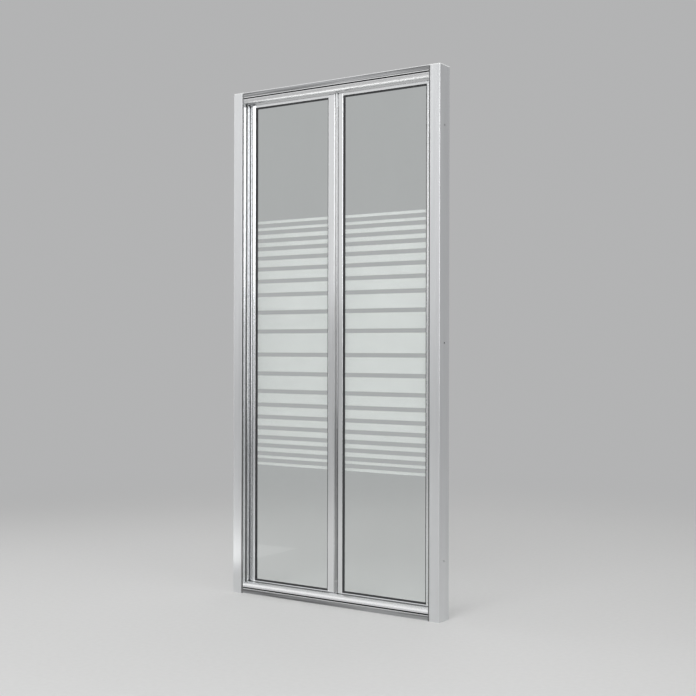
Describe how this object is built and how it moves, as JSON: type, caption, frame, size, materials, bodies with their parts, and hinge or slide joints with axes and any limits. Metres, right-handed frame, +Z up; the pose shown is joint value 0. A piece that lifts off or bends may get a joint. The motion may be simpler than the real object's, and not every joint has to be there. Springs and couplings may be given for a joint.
{
  "type": "bifold shower door",
  "caption": "Framed bifold shower door: a pivoting and a sliding glazed leaf, hinged together, fold inwards in an aluminium frame; frosted bands cross the glass.",
  "frame": {"origin": "on the floor under the frame, at the middle of its width and depth", "axes": "+X along the door from the pivot side to the closing side, +Y from the outside into the shower, +Z up"},
  "size_m": [0.88, 0.065, 1.85],
  "materials": {
    "wall_profile_aluminium": "satin bright anodised",
    "frame_aluminium": "bright anodised",
    "rail_aluminium": "bright anodised, with a brushed fascia",
    "leaf_aluminium": "bright anodised",
    "cap_plastic": "gloss",
    "screw_steel": "brushed",
    "pin_steel": "ground",
    "clear_seal": "translucent",
    "black_rubber": "satin",
    "grey_seal": "satin",
    "magnet_strip": "satin",
    "block_nylon": "moulded",
    "washer_nylon": "moulded",
    "roller_nylon": "moulded, worn smooth on the crown",
    "grey_plastic": "fine moulded texture",
    "bracket_chrome": "polished",
    "clear_glass": "clear, polished",
    "frosted_print": "frosted fired print"
  },
  "bodies": {
    "frame": {"left_wall_profile": "wall_profile_aluminium", "right_wall_profile": "wall_profile_aluminium", "left_side_frame": "frame_aluminium", "right_side_frame": "frame_aluminium", "left_jamb_cap": "cap_plastic", "right_jamb_cap": "cap_plastic", "head_rail": "rail_aluminium", "sill_rail": "rail_aluminium", "rail_corner_screws": "screw_steel", "frame_fixing_screws": "screw_steel", "hinge_side_seal": "grey_seal", "strike_magnet": "magnet_strip", "bottom_pivot_block": "block_nylon", "top_pivot_block": "block_nylon", "pivot_block_screws": "screw_steel", "bottom_pivot_pin": "pin_steel", "top_pivot_pin": "pin_steel", "pivot_washers": "washer_nylon"},
    "left_leaf": {"left_outer_stile": "leaf_aluminium", "left_hinge_stile": "leaf_aluminium", "left_top_rail": "leaf_aluminium", "left_bottom_rail": "leaf_aluminium", "left_glass": "clear_glass", "left_glazing_gasket": "black_rubber", "left_frosted_bands": "frosted_print", "left_pivot_bushes": "grey_plastic", "left_hinge_stile_caps": "grey_plastic", "left_leaf_screws": "screw_steel", "left_wiper_seal": "clear_seal", "left_hinge_fin": "grey_seal"},
    "right_leaf": {"right_outer_stile": "leaf_aluminium", "right_hinge_stile": "leaf_aluminium", "right_top_rail": "leaf_aluminium", "right_bottom_rail": "leaf_aluminium", "right_glass": "clear_glass", "right_glazing_gasket": "black_rubber", "right_frosted_bands": "frosted_print", "right_guide_bushes": "grey_plastic", "right_leaf_screws": "screw_steel", "right_wiper_seal": "clear_seal", "right_hinge_fin": "grey_seal", "closing_magnet": "magnet_strip", "bottom_hinge_bracket": "bracket_chrome", "top_hinge_bracket": "bracket_chrome", "hinge_bracket_screws": "screw_steel", "bottom_hinge_pin": "pin_steel", "top_hinge_pin": "pin_steel", "hinge_washers": "washer_nylon", "bottom_guide_pin": "pin_steel", "top_guide_pin": "pin_steel", "roller_clips": "pin_steel"},
    "bottom_roller": {"bottom_guide_roller": "roller_nylon"},
    "top_roller": {"top_guide_roller": "roller_nylon"}
  },
  "joints": [
    {"name": "left_leaf_pivot", "type": "hinge", "parent": "frame", "child": "left_leaf", "pos_m": [-0.383, 0.0155, 0.034], "axis": [0, 0, 1], "range_deg": [0, 80]},
    {"name": "centre_hinge", "type": "hinge", "parent": "left_leaf", "child": "right_leaf", "pos_m": [0, 0.0045, 0.034], "axis": [0, 0, 1], "range_deg": [-160, 0]},
    {"name": "bottom_roller_spin", "type": "hinge", "parent": "right_leaf", "child": "bottom_roller", "pos_m": [0.383, 0.0155, 0.016], "axis": [0, 0, 1], "continuous": true},
    {"name": "top_roller_spin", "type": "hinge", "parent": "right_leaf", "child": "top_roller", "pos_m": [0.383, 0.0155, 1.834], "axis": [0, 0, 1], "continuous": true}
  ],
  "couplings": [
    {"joint": "centre_hinge", "follows": "left_leaf_pivot", "ratio": -2}
  ]
}
